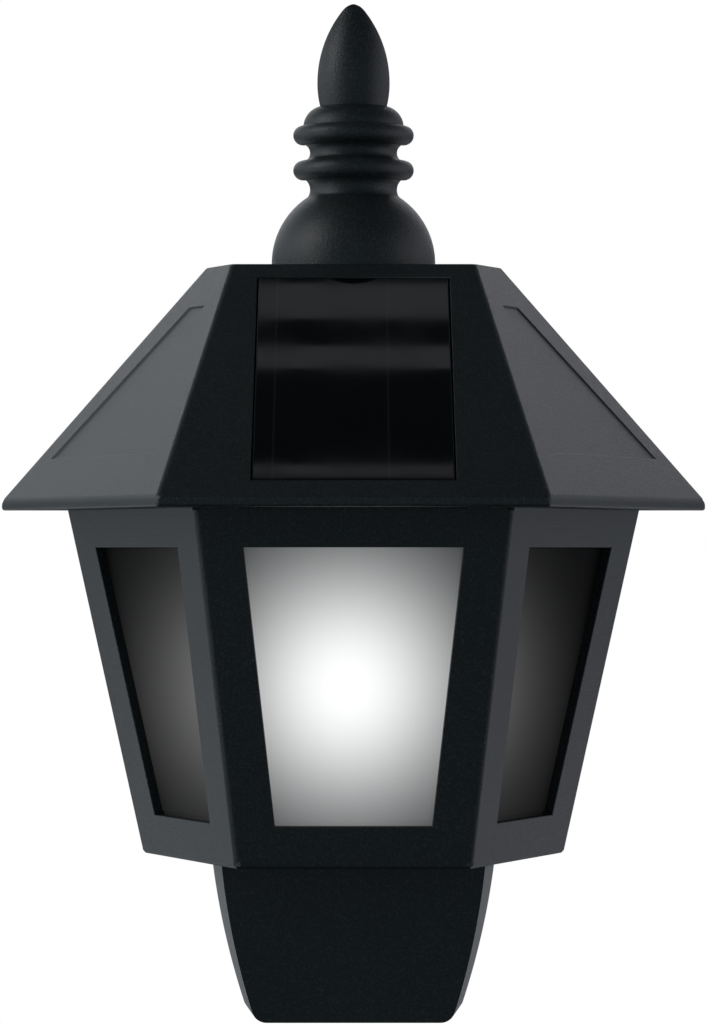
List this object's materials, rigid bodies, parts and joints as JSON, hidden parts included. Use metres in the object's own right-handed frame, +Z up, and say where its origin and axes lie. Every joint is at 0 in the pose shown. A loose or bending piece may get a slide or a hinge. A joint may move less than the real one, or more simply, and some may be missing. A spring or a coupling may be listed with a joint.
{
  "type": "solar fence light",
  "caption": "Solar lantern for a fence or wall: half-hexagon body with windows, sloping roof with a solar panel, turned finial, tail, and a flat back with keyholes.",
  "frame": {"origin": "on the wall face of the back cover, on the middle plane, level with the underside of the eave", "axes": "+Z up; the front faces -Y; the wall is the plane y = 0 and +Y goes into it; +X to the right seen from the front"},
  "size_m": [0.155, 0.0798, 0.2224],
  "materials": {
    "black_abs": "fine orange-peel moulded ABS, satin",
    "cover_abs": "moulded ABS, finer spark texture",
    "zinc_screw": "zinc plated",
    "opal_pane": "opal polystyrene, lit from behind",
    "smoked_pane": "frosted smoky polystyrene",
    "foam_seal": "closed-cell foam",
    "solar_window": "clear resin over dark cells",
    "solar_cell": "dark silicon strip",
    "circuit_board": "glass-fibre board, green mask",
    "tinned_strip": "tinned copper",
    "white_plastic": "white polystyrene",
    "lamp_chip": "phosphor dome in a white case",
    "chip_case": "moulded epoxy",
    "steel_can": "nickel plated",
    "battery_wrap": "shrink sleeve",
    "red_wire": "PVC insulation",
    "black_wire": "PVC insulation"
  },
  "bodies": {
    "root": {"roof_shell": "black_abs", "finial": "black_abs", "lantern_body": "black_abs", "tail_shell": "black_abs", "back_cover": "cover_abs", "finial_screw": "zinc_screw", "cover_screws": "zinc_screw", "flange_screws": "zinc_screw", "tail_screws": "zinc_screw", "board_screws": "zinc_screw", "front_pane": "opal_pane", "left_pane": "smoked_pane", "right_pane": "smoked_pane", "cover_seal": "foam_seal", "panel_tape": "foam_seal", "solar_glass": "solar_window", "solar_cells": "solar_cell", "solar_back_plate": "circuit_board", "solar_busbars": "tinned_strip", "reflector": "white_plastic", "led_board": "circuit_board", "leds": "lamp_chip", "driver_chip": "chip_case", "inductor": "chip_case", "switch_body": "steel_can", "battery_cell": "battery_wrap", "battery_contact_positive": "steel_can", "battery_contact_negative": "steel_can", "solar_lead_red": "red_wire", "solar_lead_black": "black_wire", "battery_lead_red": "red_wire", "battery_lead_black": "black_wire", "switch_leads": "black_wire"},
    "switch_knob": {"switch_slider": "cover_abs"},
    "battery_door": {"battery_door": "cover_abs", "door_seal": "foam_seal"}
  },
  "joints": [
    {"name": "switch_slide", "type": "slide", "parent": "root", "child": "switch_knob", "axis": [1, 0, 0], "range_m": [0, 0.0028]},
    {"name": "battery_door_hinge", "type": "hinge", "parent": "root", "child": "battery_door", "pos_m": [0, -0.00085, -0.07925], "axis": [1, 0, 0], "range_deg": [0, 90]}
  ]
}
